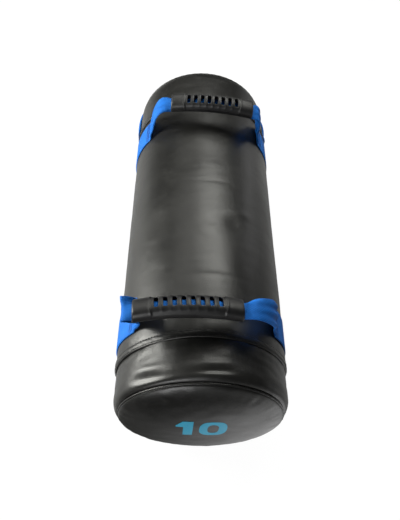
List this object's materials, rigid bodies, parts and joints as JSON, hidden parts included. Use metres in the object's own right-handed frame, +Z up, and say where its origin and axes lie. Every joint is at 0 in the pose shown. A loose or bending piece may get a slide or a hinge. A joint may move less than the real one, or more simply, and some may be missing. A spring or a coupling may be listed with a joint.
{
  "type": "training sandbag",
  "caption": "Cylindrical weighted training bag with webbing carry handles in moulded grips along its top and across its rear end.",
  "frame": {"origin": "centre of the flat underside of the main panel, on which the bag rests", "axes": "+Y along the bag towards the end with the end handle, +X to the right seen from the numbered end, +Z up"},
  "size_m": [0.2088, 0.5879, 0.2345],
  "materials": {
    "black_vinyl": "satin",
    "blue_webbing": "matte",
    "black_rubber": "satin",
    "grey_foam": "matte",
    "white_cloth": "matte",
    "sand": "matte",
    "blue_thread": "matte",
    "light_blue_film": "satin"
  },
  "bodies": {
    "bag": {"main_panel": "black_vinyl", "front_collar": "black_vinyl", "rear_collar": "black_vinyl", "front_end_panel": "black_vinyl", "rear_end_panel": "black_vinyl", "front_rim_welt": "black_vinyl", "rear_rim_welt": "black_vinyl", "front_seam_fold": "black_vinyl", "rear_seam_fold": "black_vinyl", "front_end_foam": "grey_foam", "rear_end_foam": "grey_foam", "woven_liner": "white_cloth", "foam_wrap": "grey_foam", "sand_sack": "white_cloth", "sack_closure": "white_cloth", "sand_fill": "sand", "front_ring_strap": "blue_webbing", "rear_ring_strap": "blue_webbing", "front_left_bar_tack": "blue_thread", "front_right_bar_tack": "blue_thread", "rear_left_bar_tack": "blue_thread", "rear_right_bar_tack": "blue_thread", "end_left_sewn_end": "blue_webbing", "end_right_sewn_end": "blue_webbing", "front_digit_one": "light_blue_film", "front_digit_zero": "light_blue_film"},
    "front_handle": {"front_left_neck": "blue_webbing", "front_right_neck": "blue_webbing", "front_handle_strap": "blue_webbing", "front_grip": "black_rubber", "front_grip_core": "grey_foam"},
    "rear_handle": {"rear_left_neck": "blue_webbing", "rear_right_neck": "blue_webbing", "rear_handle_strap": "blue_webbing", "rear_grip": "black_rubber", "rear_grip_core": "grey_foam"},
    "end_handle": {"end_left_neck": "blue_webbing", "end_right_neck": "blue_webbing", "end_handle_strap": "blue_webbing", "end_grip": "black_rubber", "end_grip_core": "grey_foam"}
  },
  "joints": [
    {"name": "front_handle_swing", "type": "hinge", "parent": "bag", "child": "front_handle", "pos_m": [0, -0.163, 0.16396], "axis": [1, 0, 0], "range_deg": [-64, 21], "deforming": ["front_left_neck", "front_right_neck"]},
    {"name": "rear_handle_swing", "type": "hinge", "parent": "bag", "child": "rear_handle", "pos_m": [0, 0.15, 0.16396], "axis": [1, 0, 0], "range_deg": [-56, 33], "deforming": ["rear_left_neck", "rear_right_neck"]},
    {"name": "end_handle_swing", "type": "hinge", "parent": "bag", "child": "end_handle", "pos_m": [0, 0.197, 0.094], "axis": [1, 0, 0], "range_deg": [-24, 56], "deforming": ["end_left_neck", "end_right_neck"]}
  ]
}
